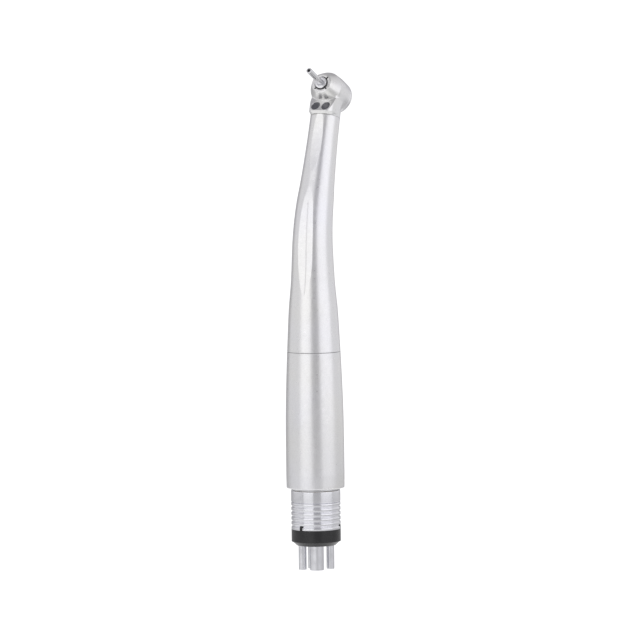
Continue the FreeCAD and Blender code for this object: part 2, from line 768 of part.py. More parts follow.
def build_head():
    head = new_body("head_housing", **HEAD)
    radius, face = D["head_radius"], D["face_height"]
    turned(head, [
        (0, -D["cap_joint"]), (radius, -D["cap_joint"]), (radius, -1.5), (radius - 0.1, 0),
        (radius - 0.25, 1.8), (3.85, 3.5), (D["face_radius"], face - 0.12),
        (D["face_radius"] - 0.12, face), (0, face)])
    # neck collar, then the brow that carries the windows
    along, out = neck_spot(D["collar_reach"])
    stub = sketch_on(head, "XZ_Plane", at=(0, out, -along), turn=neck_tip)
    disc(stub, D["neck_radius"] + 0.02)
    feature(head, "Pad", stub, Type="Length", Length=D["collar_reach"] - 1, Reversed=True)
    low = neck_section(head, D["collar_reach"], 3.72, 0.47)
    high = neck_section(head, D["collar_reach"] - 0.65, 3.8, 1.3)
    feature(head, "AdditiveLoft", low, Sections=[high], Ruled=True, Closed=False)
    brow = neck_section(head, D["collar_reach"] - 0.65, 3.8, 1.3)
    feature(head, "Pad", brow, Type="Length", Length=4.2, Reversed=True)
    # the brow widens to a flat-topped oval around both windows
    along, out = neck_spot(D["collar_reach"] - 0.65)
    for side in (-1, 1):
        corner = sketch_on(head, "XZ_Plane", at=(0, out, -along), turn=neck_tip)
        disc(corner, 2.4, side * 1.35, 2.68)
        feature(head, "Pad", corner, Type="Length", Length=4.2, Reversed=True)
    middle = sketch_on(head, "XZ_Plane", at=(0, out, -along), turn=neck_tip)
    outline(middle, [(-1.35, 0), (1.35, 0), (1.35, 5.08), (-1.35, 5.08)])
    feature(head, "Pad", middle, Type="Length", Length=4.2, Reversed=True)

    # room for the back cap, which overhangs the neck
    room = outline(sketch_on(head, "XZ_Plane"), ring_corners(0, radius + 0.15, -7, -D["cap_joint"]))
    turned_groove(head, room)

    # facet of the windows, cut along their aim
    along, out = window_spot()
    lift = D["window_angle"] - 90 + D["bur_angle"]
    facet = sketch_on(head, "XY_Plane", at=(0, along, out), turn=-1 * lift)
    outline(facet, [(-6, -5), (6, -5), (6, 2.25), (-6, 2.25)])
    feature(head, "Pocket", facet, Type="Length", Length=5, Reversed=True)
    for side in (-0.5, 0.5):
        hole = sketch_on(head, "XY_Plane", at=(0, along, out), turn=-1 * lift)
        oval(hole, D["window_half_width"], D["window_half_length"], side * D["window_spacing"], 0)
        feature(head, "Pocket", hole, Type="Length", Length=2.3)

    # chamber, front bearing seat and the hole for the spindle
    inside = outline(sketch_on(head, "XZ_Plane"), [
        (0, -4), (D["chamber_radius"], -4), (D["chamber_radius"], 0.85),
        (3.55, 0.85), (3.55, 3.3), (2.0, 3.3), (2.0, face - 0.8), (2.64, face - 0.8),
        (2.64, face + 0.2), (0, face + 0.2)])
    turned_groove(head, inside)
    hollow = neck_section(head, D["collar_reach"] + 0.1, 3.52, 0)
    feature(head, "Pocket", hollow, Type="Length", Length=3.0)
    jet = neck_section(head, 5.4, 0.45, -1.45)
    feature(head, "Pocket", jet, Type="Length", Length=2.2)
    return head


def neck_section(body, distance, radius, aside):
    """Circle square to the neck in the head frame, shifted to the bur side."""
    along, out = neck_spot(distance)
    sketch = sketch_on(body, "XZ_Plane", at=(0, out, -along), turn=neck_tip)
    return disc(sketch, radius, 0, aside)


build_head()


def build_head_trim():
    face = D["face_height"]
    ring = turned_part("spray_ring", ring_corners(2.0, 2.62, face - 0.78, face), **HEAD)
    slot = sketch_on(ring, "XY_Plane", at=(0, 0, face), turn=45, axis=V(0, 0, 1))
    outline(slot, [(1.8, -0.19), (2.52, -0.14), (2.52, 0.14), (1.8, 0.19)])
    cut = feature(ring, "Pocket", slot, Type="Length", Length=0.45)
    around(ring, cut, 4)

    along, out = window_spot()
    lift = D["window_angle"] - 90 + D["bur_angle"]
    for label, side in (("window_left", -0.5), ("window_right", 0.5)):
        pane = new_body(label, **HEAD)
        shape = sketch_on(pane, "XY_Plane", at=(0, along, out), turn=-1 * lift)
        oval(shape, D["window_half_width"] - D["fit_gap"],
             D["window_half_length"] - D["fit_gap"], side * D["window_spacing"], 0)
        feature(pane, "Pad", shape, Type="Length", Length=1.0, Reversed=True)

    outer, joint, end = D["head_radius"], D["cap_joint"] + 0.03, D["cap_end"]
    cap = new_body("back_cap", **HEAD)
    turned(cap, [
        (3.57, -2.3), (4.17, -2.3), (4.17, -joint), (outer, -joint), (outer, -end),
        (3.45, -end), (3.45, -5.8), (3.75, -5.8), (3.75, -5.15), (1.3, -5.15),
        (1.3, -4.75), (3.57, -4.75)])
    dress(cap, "Fillet", 0.5, [(outer, -end)])
    dress(cap, "Chamfer", 0.08, [(outer, -joint)])
    seat = outline(sketch_on(cap, "XZ_Plane"), ring_corners(3.88, 4.4, -3.0, -2.68))
    turned_groove(cap, seat)
    o_ring("cap_o_ring", D["cap_seal_radius"], 0.145, (-2.84,), **HEAD)
    turned_part("button_spring", [(1.5, -5.27), (3.3, -5.52), (3.3, -5.58), (1.5, -5.33)], **HEAD)
    button = new_body("push_button", **HEAD)
    turned(button, [
        (0, -4.93), (0.9, -4.93), (0.9, -5.6), (3.68, -5.6), (3.68, -5.78), (3.38, -5.78),
        (3.38, -6.5), (2.9, -6.62), (1.7, -6.71), (0, -6.75)])
    dress(button, "Fillet", 0.12, [(3.38, -6.5)])


def bearing(name, middle):
    """Ball bearing in the head: two races, a cage and seven balls."""
    half = D["bearing_width"] / 2
    centre, ball = D["ball_circle"], D["ball_radius"]
    rings = ((name + "_outer_race", centre + 0.34, D["bearing_radius"]),
             (name + "_inner_race", D["spindle_radius"] + 0.01, centre - 0.34))
    for label, inner, outer in rings:
        race = new_body(label, **HEAD)
        turned(race, ring_corners(inner, outer, middle - half, middle + half))
        turned_groove(race, disc(sketch_on(race, "XZ_Plane"), ball + 0.02, centre, middle))
    cage = new_body(name + "_cage", **HEAD)
    turned(cage, ring_corners(centre - 0.17, centre + 0.17, middle - 0.72, middle + 0.72))
    pocket = disc(sketch_on(cage, "XZ_Plane"), ball + 0.03, 0, middle)
    hole = feature(cage, "Pocket", pocket, Type="Length", Length=5)
    around(cage, hole, BALLS)
    balls = new_body(name + "_balls", **HEAD)
    sphere = balls.newObject("PartDesign::AdditiveSphere", name + "_ball")
    sphere.AttachmentSupport = [(origin_part(balls, "XY_Plane"), "")]
    sphere.MapMode = "FlatFace"
    sphere.AttachmentOffset = FreeCAD.Placement(V(0, number(centre), number(middle)), FreeCAD.Rotation())
    bind(sphere, "AttachmentOffset.Base.y", centre)
    bind(sphere, "AttachmentOffset.Base.z", middle)
    sphere.Radius = number(ball)
    bind(sphere, "Radius", ball)
    around(balls, sphere, BALLS)


BALLS = 7


def build_turbine():
    front, rear = D["front_bearing_at"], -D["rear_bearing_at"]
    bearing("front_bearing", front)
    bearing("rear_bearing", rear)
    o_ring("front_damper_ring", D["front_damper_radius"], 0.17, (front,), **HEAD)
    o_ring("rear_damper_ring", D["rear_damper_radius"], 0.17, (rear,), **HEAD)
    turned_part("preload_washer", ring_corners(2.7, 3.5, -4.72, -4.58), **HEAD)

    outer, nose = D["spindle_radius"], D["spindle_nose_radius"]
    bore, tip = D["pin_radius"] + 0.03, D["face_height"] + 0.65
    collar = D["nose_collar_radius"]
    turned_part("spindle", [
        (bore, 2.1), (bore, tip), (collar - 0.12, tip), (collar, tip - 0.12), (collar, tip - 1.1),
        (nose, tip - 1.1), (nose, 3.4),
        (outer, 3.4), (outer, -4.65), (1.2, -4.65), (1.2, 1.6)], **HEAD)

    wheel = new_body("turbine_wheel", **HEAD)
    front_face, back_face = D["wheel_front"], -D["wheel_back"]
    turned(wheel, ring_corners(outer + 0.01, 2.75, back_face, front_face))
    blade = sketch_on(wheel, "XY_Plane", at=(0, 0, back_face + 0.1))
    reach = D["wheel_radius"]
    outline(blade, [(-0.2, 2.6), (0.16, 2.6), (0.3, 3.2), (0.72, reach - 0.12), (0.42, reach - 0.03),
                    (-0.02, 3.3)])
    vane = feature(wheel, "Pad", blade, Type="Length", Length=front_face - back_face - 0.2)
    around(wheel, vane, 12)

    turned_part("chuck_plunger", [
        (0, -4.78), (1.14, -4.78), (1.14, -3.4), (0.97, -3.4), (0.97, -1.25), (0.84, -1.25),
        (0.84, -3.2), (0, -3.2)], **HEAD)
    coil("chuck_spring", D["chuck_spring_radius"], 0.08, D["chuck_spring_back"],
         D["chuck_spring_front"], 7, **HEAD)
    for place in range(3):
        jaw = new_body("collet_jaw_%d" % (place + 1), **HEAD)
        profile = sketch_on(jaw, "XZ_Plane", turn=120 * place, axis=V(0, 1, 0))
        outline(profile, [
            (D["pin_radius"] + 0.015, -0.8), (1.12, -0.8), (1.12, 1.3), (0.95, 1.6),
            (D["pin_radius"] + 0.015, 1.6)])
        axis = (origin_part(jaw, "Z_Axis"), [""])
        feature(jaw, "Revolution", profile, ReferenceAxis=axis, Angle=106, Midplane=True)
    blank = turned_part("drill_blank", ring_corners(
        0, D["pin_radius"], -D["pin_back"], D["pin_tip"]), **HEAD)
    dress(blank, "Chamfer", 0.12, [(D["pin_radius"], D["pin_tip"])])


build_head_trim()
build_turbine()

# ---------------------------------------------------------------- export


def write_parts():
    """Check every object, then write one STEP file for each sub-part."""
    doc.recompute()
    for item in doc.Objects:
        if "Invalid" in item.State or "Error" in item.State:
            raise RuntimeError("%s did not build: %s" % (item.Label, item.State))
    os.makedirs("parts", exist_ok=True)
    for body in doc.Objects:
        if body.TypeId != "PartDesign::Body":
            continue
        if body.Shape.isNull() or not body.Shape.isValid():
            raise RuntimeError(body.Label + " has no valid shape")
        body.Shape.exportStep("parts/%s.step" % body.Label)


write_parts()
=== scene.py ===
"""High speed dental handpiece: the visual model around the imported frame.

Shapes are written in millimetres and made in metres. The handle stands along +Z, the neck leans
to +Y and the drill blank points to -Y and up.
"""

import json
import math

import bmesh
import bpy
import numpy as np
from mathutils import Matrix, Vector


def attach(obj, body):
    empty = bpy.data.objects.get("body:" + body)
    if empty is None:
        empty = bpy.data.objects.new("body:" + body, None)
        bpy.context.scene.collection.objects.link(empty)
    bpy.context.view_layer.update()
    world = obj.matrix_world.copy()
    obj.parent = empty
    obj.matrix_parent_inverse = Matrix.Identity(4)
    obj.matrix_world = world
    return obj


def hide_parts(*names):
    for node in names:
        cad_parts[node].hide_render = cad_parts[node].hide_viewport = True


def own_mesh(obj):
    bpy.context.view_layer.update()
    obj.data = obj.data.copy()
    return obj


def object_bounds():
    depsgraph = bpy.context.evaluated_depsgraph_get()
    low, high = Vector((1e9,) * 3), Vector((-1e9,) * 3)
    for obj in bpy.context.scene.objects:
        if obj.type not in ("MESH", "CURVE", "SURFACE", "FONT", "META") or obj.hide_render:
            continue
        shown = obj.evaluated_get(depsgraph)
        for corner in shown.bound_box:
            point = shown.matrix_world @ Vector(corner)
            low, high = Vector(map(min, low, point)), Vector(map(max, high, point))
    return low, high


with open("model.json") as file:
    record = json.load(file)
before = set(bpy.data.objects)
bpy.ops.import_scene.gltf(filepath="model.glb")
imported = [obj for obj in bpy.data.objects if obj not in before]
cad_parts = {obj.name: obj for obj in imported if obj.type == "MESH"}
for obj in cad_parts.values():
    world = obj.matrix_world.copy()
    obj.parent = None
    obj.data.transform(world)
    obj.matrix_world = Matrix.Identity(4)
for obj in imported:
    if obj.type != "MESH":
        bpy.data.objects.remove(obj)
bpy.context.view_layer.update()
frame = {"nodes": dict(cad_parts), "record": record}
MM = 0.001  # metres in a millimetre

# ---------------------------------------------------------------- the object's own directions

# The handle is straight, then bends towards the head, and ends in a straight neck. Distances run
# along its middle from the hose end.
BEND_START, BEND_RADIUS, BEND_ANGLE = 82.5, 46.0, math.radians(18.4)
NECK_LENGTH, COLLAR_REACH = 33.2, 8.1
BEND_LENGTH = BEND_RADIUS * BEND_ANGLE
NECK_END = BEND_START + BEND_LENGTH + NECK_LENGTH - COLLAR_REACH
SEAM = 55.0  # where the rear casing meets the front body
# Turn of the head about X, and how far the neck leans from square to the drill blank.
BUR_ANGLE = math.radians(66.4)
NECK_TIP = BUR_ANGLE + BEND_ANGLE - math.pi / 2


def centreline(distance):
    """Point (y, z) and lean of the handle's middle at a distance along it."""
    if distance <= BEND_START:
        return 0.0, distance, 0.0
    lean = min((distance - BEND_START) / BEND_RADIUS, BEND_ANGLE)
    past = max(0.0, distance - BEND_START - BEND_LENGTH)
    y = BEND_RADIUS * (1 - math.cos(lean)) + past * math.sin(lean)
    z = BEND_START + BEND_RADIUS * math.sin(lean) + past * math.cos(lean)
    return y, z, lean


HEAD_Y, HEAD_Z, _ = centreline(NECK_END + COLLAR_REACH)
HEAD = Matrix.Translation((0, HEAD_Y, HEAD_Z)) @ Matrix.Rotation(BUR_ANGLE, 4, "X")

# ---------------------------------------------------------------- materials

RELIEF_DEPTH = 0.00002  # metres of surface relief at full strength
COAT_ROUGHNESS = 0.08
IOR = 1.5


def link(tree, start, end):
    tree.links.new(start, end)


def noise(tree, source, scale, detail=2.0, stretch=(1, 1, 1)):
    """Noise over the piece's own coordinates; scale is in features per metre."""
    place = tree.nodes.new("ShaderNodeMapping")
    place.inputs["Scale"].default_value = [scale * s for s in stretch]
    link(tree, source, place.inputs["Vector"])
    made = tree.nodes.new("ShaderNodeTexNoise")
    made.inputs["Scale"].default_value = 1.0
    made.inputs["Detail"].default_value = detail
    link(tree, place.outputs["Vector"], made.inputs["Vector"])
    return made.outputs["Fac"]


def spread(tree, value, low, high, start=0.3, stop=0.7):
    """A value from start to stop mapped to low to high."""
    made = tree.nodes.new("ShaderNodeMapRange")
    limits = {"From Min": start, "From Max": stop, "To Min": low, "To Max": high}
    for name, number in limits.items():
        made.inputs[name].default_value = number
    link(tree, value, made.inputs["Value"])
    return made.outputs["Result"]


def blend_colours(tree, factor, first, second, kind="MIX"):
    """Mix of two colours, each a tuple or a socket."""
    made = tree.nodes.new("ShaderNodeMix")
    made.data_type = "RGBA"
    made.blend_type = kind
    for socket, colour in (("A", first), ("B", second)):
        target = [s for s in made.inputs if s.name == socket and s.type == "RGBA"][0]
        if isinstance(colour, tuple):
            target.default_value = (*colour, 1)
        else:
            link(tree, colour, target)
    if isinstance(factor, float):
        made.inputs["Factor"].default_value = factor
    else:
        link(tree, factor, made.inputs["Factor"])
    return [s for s in made.outputs if s.type == "RGBA"][0]


def surface(name, first, second, metallic, rough, patch=70.0, grain=5000.0, speckle=0.0,
            bump=0.1, lines=(1, 1, 1), line_scale=9000.0, line_bump=0.0, coat=0.0,
            transmission=0.0, cells=0.0):
    """One procedural finish.

    first and second are the tints of broad soft patches, rough the lowest and highest roughness,
    speckle the strength of fine light and dark grains, lines the stretch of machining marks,
    cells the density of round fibre ends or grains.
    """
    made = bpy.data.materials.new(name)
    made.use_nodes = True
    tree = made.node_tree
    shader = tree.nodes["Principled BSDF"]
    spot = tree.nodes.new("ShaderNodeTexCoord").outputs["Object"]
    colour = blend_colours(tree, spread(tree, noise(tree, spot, patch, 3), 0, 1), first, second)
    fine = noise(tree, spot, grain, 3)
    if speckle:
        tone = spread(tree, fine, 1 - speckle, 1 + speckle * 0.6)
        grey = tree.nodes.new("ShaderNodeCombineColor")
        for channel in ("Red", "Green", "Blue"):
            link(tree, tone, grey.inputs[channel])
        colour = blend_colours(tree, 1.0, colour, grey.outputs[0], "MULTIPLY")
    if cells:
        dots = tree.nodes.new("ShaderNodeTexVoronoi")
        dots.inputs["Scale"].default_value = cells
        link(tree, spot, dots.inputs["Vector"])
        colour = blend_colours(tree, spread(tree, dots.outputs["Distance"], 0.0, 0.55, 0.2, 0.7),
                               colour, tuple(c * 0.35 for c in first))
    link(tree, colour, shader.inputs["Base Color"])
    wear = noise(tree, spot, grain * 0.21, 4)
    link(tree, spread(tree, wear, *rough), shader.inputs["Roughness"])
    height = fine
    if line_bump:
        marks = noise(tree, spot, line_scale, 2, lines)
        mixed = tree.nodes.new("ShaderNodeMath")
        mixed.operation = "MULTIPLY_ADD"
        mixed.inputs[1].default_value = line_bump
        link(tree, marks, mixed.inputs[0])
        link(tree, fine, mixed.inputs[2])
        height = mixed.outputs[0]
    if bump:
        relief = tree.nodes.new("ShaderNodeBump")
        relief.inputs["Strength"].default_value = bump
        relief.inputs["Distance"].default_value = RELIEF_DEPTH
        link(tree, height, relief.inputs["Height"])
        link(tree, relief.outputs["Normal"], shader.inputs["Normal"])
    shader.inputs["Metallic"].default_value = metallic
    shader.inputs["IOR"].default_value = IOR
    shader.inputs["Coat Weight"].default_value = coat
    shader.inputs["Coat Roughness"].default_value = COAT_ROUGHNESS
    shader.inputs["Transmission Weight"].default_value = transmission
    return made


ROUND_MARKS = (0.02, 0.02, 1.0)  # machining marks that run around Z
LONG_MARKS = (1, 1, 0.03)  # drawing marks that run along Z
# One finish for each material slot of the record.
FINISH = {
    "satin_shell": surface("satin_pearl_chrome", (0.80, 0.80, 0.82), (0.81, 0.805, 0.785), 1.0,
                           (0.27, 0.35), grain=4200, speckle=0.07, bump=0.22),
    "polished_chrome": surface("polished_chrome", (0.80, 0.80, 0.83), (0.77, 0.775, 0.80), 1.0,
                               (0.12, 0.20), patch=300, grain=2500, bump=0.04,
                               lines=ROUND_MARKS, line_scale=6000, line_bump=0.6),
    "black_polymer": surface("black_ring", (0.006, 0.006, 0.007), (0.012, 0.012, 0.013), 0.0,
                             (0.20, 0.30), patch=400, grain=5500, speckle=0.2, bump=0.14),
    "steel": surface("turned_steel", (0.62, 0.62, 0.63), (0.56, 0.56, 0.57), 1.0, (0.22, 0.34),
                     patch=250, bump=0.15, lines=ROUND_MARKS, line_bump=1.2),
    "bright_steel": surface("ground_steel", (0.82, 0.82, 0.83), (0.76, 0.76, 0.78), 1.0,
                            (0.18, 0.28), patch=500, bump=0.06, lines=ROUND_MARKS, line_bump=0.8),
    "aluminium_parts": surface("machined_aluminium", (0.76, 0.77, 0.78), (0.70, 0.71, 0.72), 1.0,
                               (0.28, 0.42), patch=300, speckle=0.06, bump=0.2, lines=ROUND_MARKS,
                               line_bump=1.0),
    "brass_parts": surface("machined_brass", (0.78, 0.60, 0.30), (0.70, 0.52, 0.24), 1.0,
                           (0.20, 0.36), patch=220, bump=0.15, lines=ROUND_MARKS, line_bump=1.2),
    "rubber_rings": surface("black_rubber", (0.018, 0.018, 0.019), (0.03, 0.03, 0.03), 0.0,
                            (0.48, 0.66), patch=500, grain=7000, speckle=0.2, bump=0.4),
    "fibre_glass": surface("fibre_glass", (0.085, 0.085, 0.10), (0.13, 0.13, 0.15), 0.0,
                           (0.10, 0.2), patch=500, bump=0.03, coat=0.6, cells=14000),
    "rod_glass": surface("rod_glass", (0.80, 0.85, 0.87), (0.72, 0.80, 0.84), 0.0, (0.05, 0.12),
                         patch=150, bump=0.02, transmission=0.7, cells=12000),
    "lamp_lens": surface("lamp_lens", (0.95, 0.92, 0.78), (0.97, 0.90, 0.62), 0.0, (0.06, 0.12),
                         patch=700, bump=0.03, coat=0.5, transmission=0.35),
    "magnet": surface("plated_magnet", (0.50, 0.51, 0.53), (0.42, 0.43, 0.45), 1.0, (0.25, 0.4),
                      patch=400, speckle=0.1, bump=0.2),
    "copper_coil": surface("copper_coil", (0.80, 0.38, 0.20), (0.70, 0.30, 0.15), 1.0, (0.25, 0.4),
                           patch=500, bump=0.5, lines=ROUND_MARKS, line_scale=5000,
                           line_bump=3.0),
    "cage_resin": surface("cage_resin", (0.42, 0.26, 0.12), (0.32, 0.19, 0.08), 0.0, (0.4, 0.55),
                          patch=700, speckle=0.25, bump=0.3),
    "line_tube": surface("line_tube", (0.66, 0.66, 0.67), (0.60, 0.60, 0.62), 1.0, (0.2, 0.35),
                         patch=200, bump=0.1, lines=LONG_MARKS, line_bump=1.0),
}
# Painted shade: dark steel stands in for the shade inside the spray marks and the hollow at the
# blank's tip.
PAINTED_SHADE_METAL = surface("shadowed_steel", (0.05, 0.05, 0.055), (0.03, 0.03, 0.035), 1.0, (0.35, 0.5),
                     patch=600, bump=0.1)

for row in frame["record"]["subparts"]:
    node = frame["nodes"].get(row["node"])
    if node is not None:
        node.data.materials.clear()
        node.data.materials.append(FINISH[row["material_slot"]])

# ---------------------------------------------------------------- mesh helpers

ARC_STEP = math.radians(18)  # widest step around a rounded corner
SMALL_SIDES, SPINDLE_SIDES, BODY_SIDES, COLLAR_SIDES, CASING_SIDES, GRIP_SIDES = (
    72, 96, 128, 160, 192, 240)


def rounded(corners):
    """Closed outline of (r, z) corners; a third number rounds that corner."""
    points = []
    count = len(corners)
    for place, corner in enumerate(corners):
        here = Vector(corner[:2])
        radius = corner[2] if len(corner) > 2 else 0
        if not radius:
            points.append(here)
            continue
        before = (Vector(corners[place - 1][:2]) - here).normalized()
        after = (Vector(corners[(place + 1) % count][:2]) - here).normalized()
        half = before.angle(after) / 2
        middle = here + (before + after).normalized() * (radius / math.sin(half))
        start = here + before * (radius / math.tan(half)) - middle
        stop = here + after * (radius / math.tan(half)) - middle
        swing = math.pi - 2 * half
        steps = max(2, math.ceil(swing / ARC_STEP))
        for step in range(steps + 1):
            share = step / steps
            arm = (start * math.sin((1 - share) * swing) + stop * math.sin(share * swing))
            points.append(middle + arm / math.sin(swing))
    return points


def mesh_object(name, mesh, place=None, sharp=32.0, weighted=True):
    """Object in metres from a bmesh in millimetres, smooth except at sharp edges."""
    bmesh.ops.recalc_face_normals(mesh, faces=mesh.faces)
    data = bpy.data.meshes.new(name)
    mesh.to_mesh(data)
    mesh.free()
    data.transform(Matrix.Scale(MM, 4) @ (place or Matrix.Identity(4)))
    data.polygons.foreach_set("use_smooth", [True] * len(data.polygons))
    data.set_sharp_from_angle(angle=math.radians(sharp))
    made = bpy.data.objects.new(name, data)
    bpy.context.scene.collection.objects.link(made)
    if weighted:
        made.modifiers.new("even_shading", "WEIGHTED_NORMAL").keep_sharp = True
    return made


def joined_rings(mesh, rings, closed):
    """Faces between rings of vertices; a ring of one vertex is a pole."""
    pairs = list(zip(rings, rings[1:]))
    if closed:
        pairs.append((rings[-1], rings[0]))
    for low, high in pairs:
        if len(low) == len(high) == 1:
            continue
        count = max(len(low), len(high))
        for step in range(count):
            after = (step + 1) % count
            if len(low) == 1:
                mesh.faces.new((low[0], high[after], high[step]))
            elif len(high) == 1:
                mesh.faces.new((low[step], low[after], high[0]))
            else:
                mesh.faces.new((low[step], low[after], high[after], high[step]))


def turned_mesh(corners, segments):
    """Closed solid of revolution about Z from a closed outline."""
    mesh = bmesh.new()
    rings = []
    for r, z in rounded(corners):
        if r < 1e-6:
            rings.append([mesh.verts.new((0, 0, z))])
            continue
        turns = [2 * math.pi * step / segments for step in range(segments)]
        rings.append([mesh.verts.new((r * math.cos(t), r * math.sin(t), z)) for t in turns])
    joined_rings(mesh, rings, True)
    return mesh


def turned(name, corners, place=None, segments=BODY_SIDES):
    """Object turned about Z from a closed outline of (r, z) corners."""
    return mesh_object(name, turned_mesh(corners, segments), place)


def block(name, low, high, place=None, edge=0.0):
    """Box between two corners, turned by place; used to cut or to build small tabs."""
    mesh = bmesh.new()
    bmesh.ops.create_cube(mesh, size=1)
    low, high = Vector(low), Vector(high)
    middle, size = (low + high) / 2, high - low
    for vert in mesh.verts:
        vert.co = middle + vert.co * size
    if edge:
        bmesh.ops.bevel(mesh, geom=list(mesh.edges), offset=edge, segments=3, profile=0.5,
                        affect="EDGES")
    return mesh_object(name, mesh, place, weighted=False)


def combine(target, others, operation, sharp=32.0):
    """Boolean of the target with other objects, which are used up."""
    for other in others:
        change = target.modifiers.new("combine", "BOOLEAN")
        change.operation = operation
        change.solver = "EXACT"
        change.object = other
    for shading in [m for m in target.modifiers if m.type == "WEIGHTED_NORMAL"]:
        target.modifiers.remove(shading)
    bpy.context.view_layer.update()
    evaluated = target.evaluated_get(bpy.context.evaluated_depsgraph_get())
    result = bpy.data.meshes.new_from_object(evaluated)
    target.modifiers.clear()
    target.data = result
    for other in others:
        bpy.data.objects.remove(other)
    result.polygons.foreach_set("use_smooth", [True] * len(result.polygons))
    result.set_sharp_from_angle(angle=math.radians(sharp))
    target.modifiers.new("even_shading", "WEIGHTED_NORMAL").keep_sharp = True
    return target


def piece(made, body, slot, *nodes, extra=None):
    """Give a piece its finish and its body, and hide the CAD nodes it stands for."""
    made.data.materials.clear()
    made.data.materials.append(FINISH[slot])
    if extra:
        made.data.materials.append(extra)
    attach(made, body)
    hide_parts(*nodes)
    return made


def about(turn):
    """Turn about Z."""
    return Matrix.Rotation(turn, 4, "Z")


# ---------------------------------------------------------------- coupler

PATTERN_TURN = math.radians(33.5)  # turn of the tubes about Z
TUBE_WALL, TUBE_END = 0.3, -7.0
COUPLER_RADIUS = 7.0
TABS, TAB_TURN = 3, math.radians(-14)
GROOVES, FIRST_GROOVE, GROOVE_PITCH = 6, 5.65, 1.37
GROOVE_RADIUS, GROOVE_HALF_TOP, GROOVE_HALF_FLOOR = 6.72, 0.34, 0.1
# Place across and up in the pattern, radius, and height of the inner end.
TUBES = {
    "exhaust_tube": (-0.3, -2.3, 1.98, 9.0),
    "drive_air_tube": (-0.3, 2.9, 1.6, 8.0),
    "water_tube": (-4.0, 0.0, 1.12, 6.0),
    "chip_air_tube": (4.0, 0.0, 1.12, 6.0),
}
for name, (across, up, radius, top) in TUBES.items():
    shift = about(PATTERN_TURN) @ Matrix.Translation((across, up, 0))
    bore = radius - TUBE_WALL
    outline = [(bore, TUBE_END + 0.3), (bore + 0.14, TUBE_END, 0.1), (radius, TUBE_END, 0.12),
               (radius, 0.1), (radius - 0.18, 0.1), (radius - 0.18, top), (bore, top)]
    piece(turned("hose_" + name, outline, shift, SMALL_SIDES), "coupler", "polished_chrome", name)

plate = turned("coupler_tail_plate", [(0, 0), (5.1, 0), (5.35, 0.2, 0.05), (5.35, 2.6), (0, 2.6)])
holes = []
for name, (across, up, radius, _) in TUBES.items():
    shift = about(PATTERN_TURN) @ Matrix.Translation((across, up, 0))
    outline = [(0, -1), (radius + 0.02, -1), (radius + 0.02, 0.12), (radius - 0.16, 0.12),
               (radius - 0.16, 4), (0, 4)]
    holes.append(turned("hole_" + name, outline, shift, SMALL_SIDES))
piece(combine(plate, holes, "DIFFERENCE"), "coupler", "steel", "tail_plate")

piece(turned("coupler_smooth_band", [
    (5.62, 12.8), (COUPLER_RADIUS, 12.8, 0.12), (COUPLER_RADIUS, 15.7, 0.3), (5.62, 15.7)]),
    "coupler", "polished_chrome", "smooth_band")

# Release collar, with ribs between its grooves and notches for the tabs of the tail ring.
collar_outline = [(6.15, 4.62), (COUPLER_RADIUS, 4.62, 0.06)]
for groove in range(GROOVES):
    middle = FIRST_GROOVE + GROOVE_PITCH * groove
    collar_outline += [(COUPLER_RADIUS, middle - GROOVE_HALF_TOP, 0.13),
                       (GROOVE_RADIUS, middle - GROOVE_HALF_FLOOR, 0.07),
                       (GROOVE_RADIUS, middle + GROOVE_HALF_FLOOR, 0.07),
                       (COUPLER_RADIUS, middle + GROOVE_HALF_TOP, 0.13)]
collar_outline += [(COUPLER_RADIUS, 12.75, 0.15), (5.66, 12.75), (5.66, 11.2), (6.15, 11.2)]
collar = turned("collar_with_ribs", collar_outline, segments=COLLAR_SIDES)
tab_places = [about(TAB_TURN + k * 2 * math.pi / TABS) for k in range(TABS)]
cuts = [block("notch_%d" % k, (-0.49, -8.0, 3.5), (0.49, -6.0, 5.9), place)
        for k, place in enumerate(tab_places)]
piece(combine(collar, cuts, "DIFFERENCE"), "collar", "polished_chrome", "release_collar")

tail = turned("collar_tail_ring", [
    (5.43, 0.0), (5.55, 0.0, 0.05), (6.75, 1.1, 0.12), (COUPLER_RADIUS, 1.1, 0.1),
    (COUPLER_RADIUS, 4.6, 0.08), (6.15, 4.6), (6.15, 1.5), (5.43, 1.5)], segments=COLLAR_SIDES)
tabs = [block("tab_%d" % k, (-0.45, -6.98, 4.2), (0.45, -6.25, 5.8), place, 0.06)
        for k, place in enumerate(tab_places)]
piece(combine(tail, tabs, "UNION"), "collar", "black_polymer", "tail_ring")

piece(turned("swivel_thrust_ring", [
    (4.88, 15.76), (6.9, 15.76, 0.08), (6.9, 16.24, 0.08), (4.88, 16.24)]),
    "swivel", "steel", "swivel_ring")

# ---------------------------------------------------------------- handle

piece(turned("casing_rear", [
    (7.1, 16.3), (8.22, 16.3, 0.35), (8.27, 20.3, 3.0), (8.25, 30.0, 20.0), (8.20, 36.0, 20.0),
    (8.07, 42.0, 20.0), (7.84, 48.5, 20.0), (7.57, 54.95, 0.09), (6.75, 54.95), (6.75, 47.3),
    (7.1, 47.3)], segments=CASING_SIDES),
    "handpiece", "satin_shell", "rear_casing")

# (distance, outer radius) along the front body.
PROFILE = np.array([
    (55.0, 7.56), (58.0, 7.41), (61.0, 7.265), (64.0, 7.11), (67.0, 6.93), (70.5, 6.61),
    (74.0, 6.28), (78.25, 6.03), (82.5, 5.84), (87.4, 5.63), (92.3, 5.43), (97.3, 5.22),
    (103.5, 4.80), (109.9, 4.50), (117.2, 4.27), (NECK_END, 4.20)])


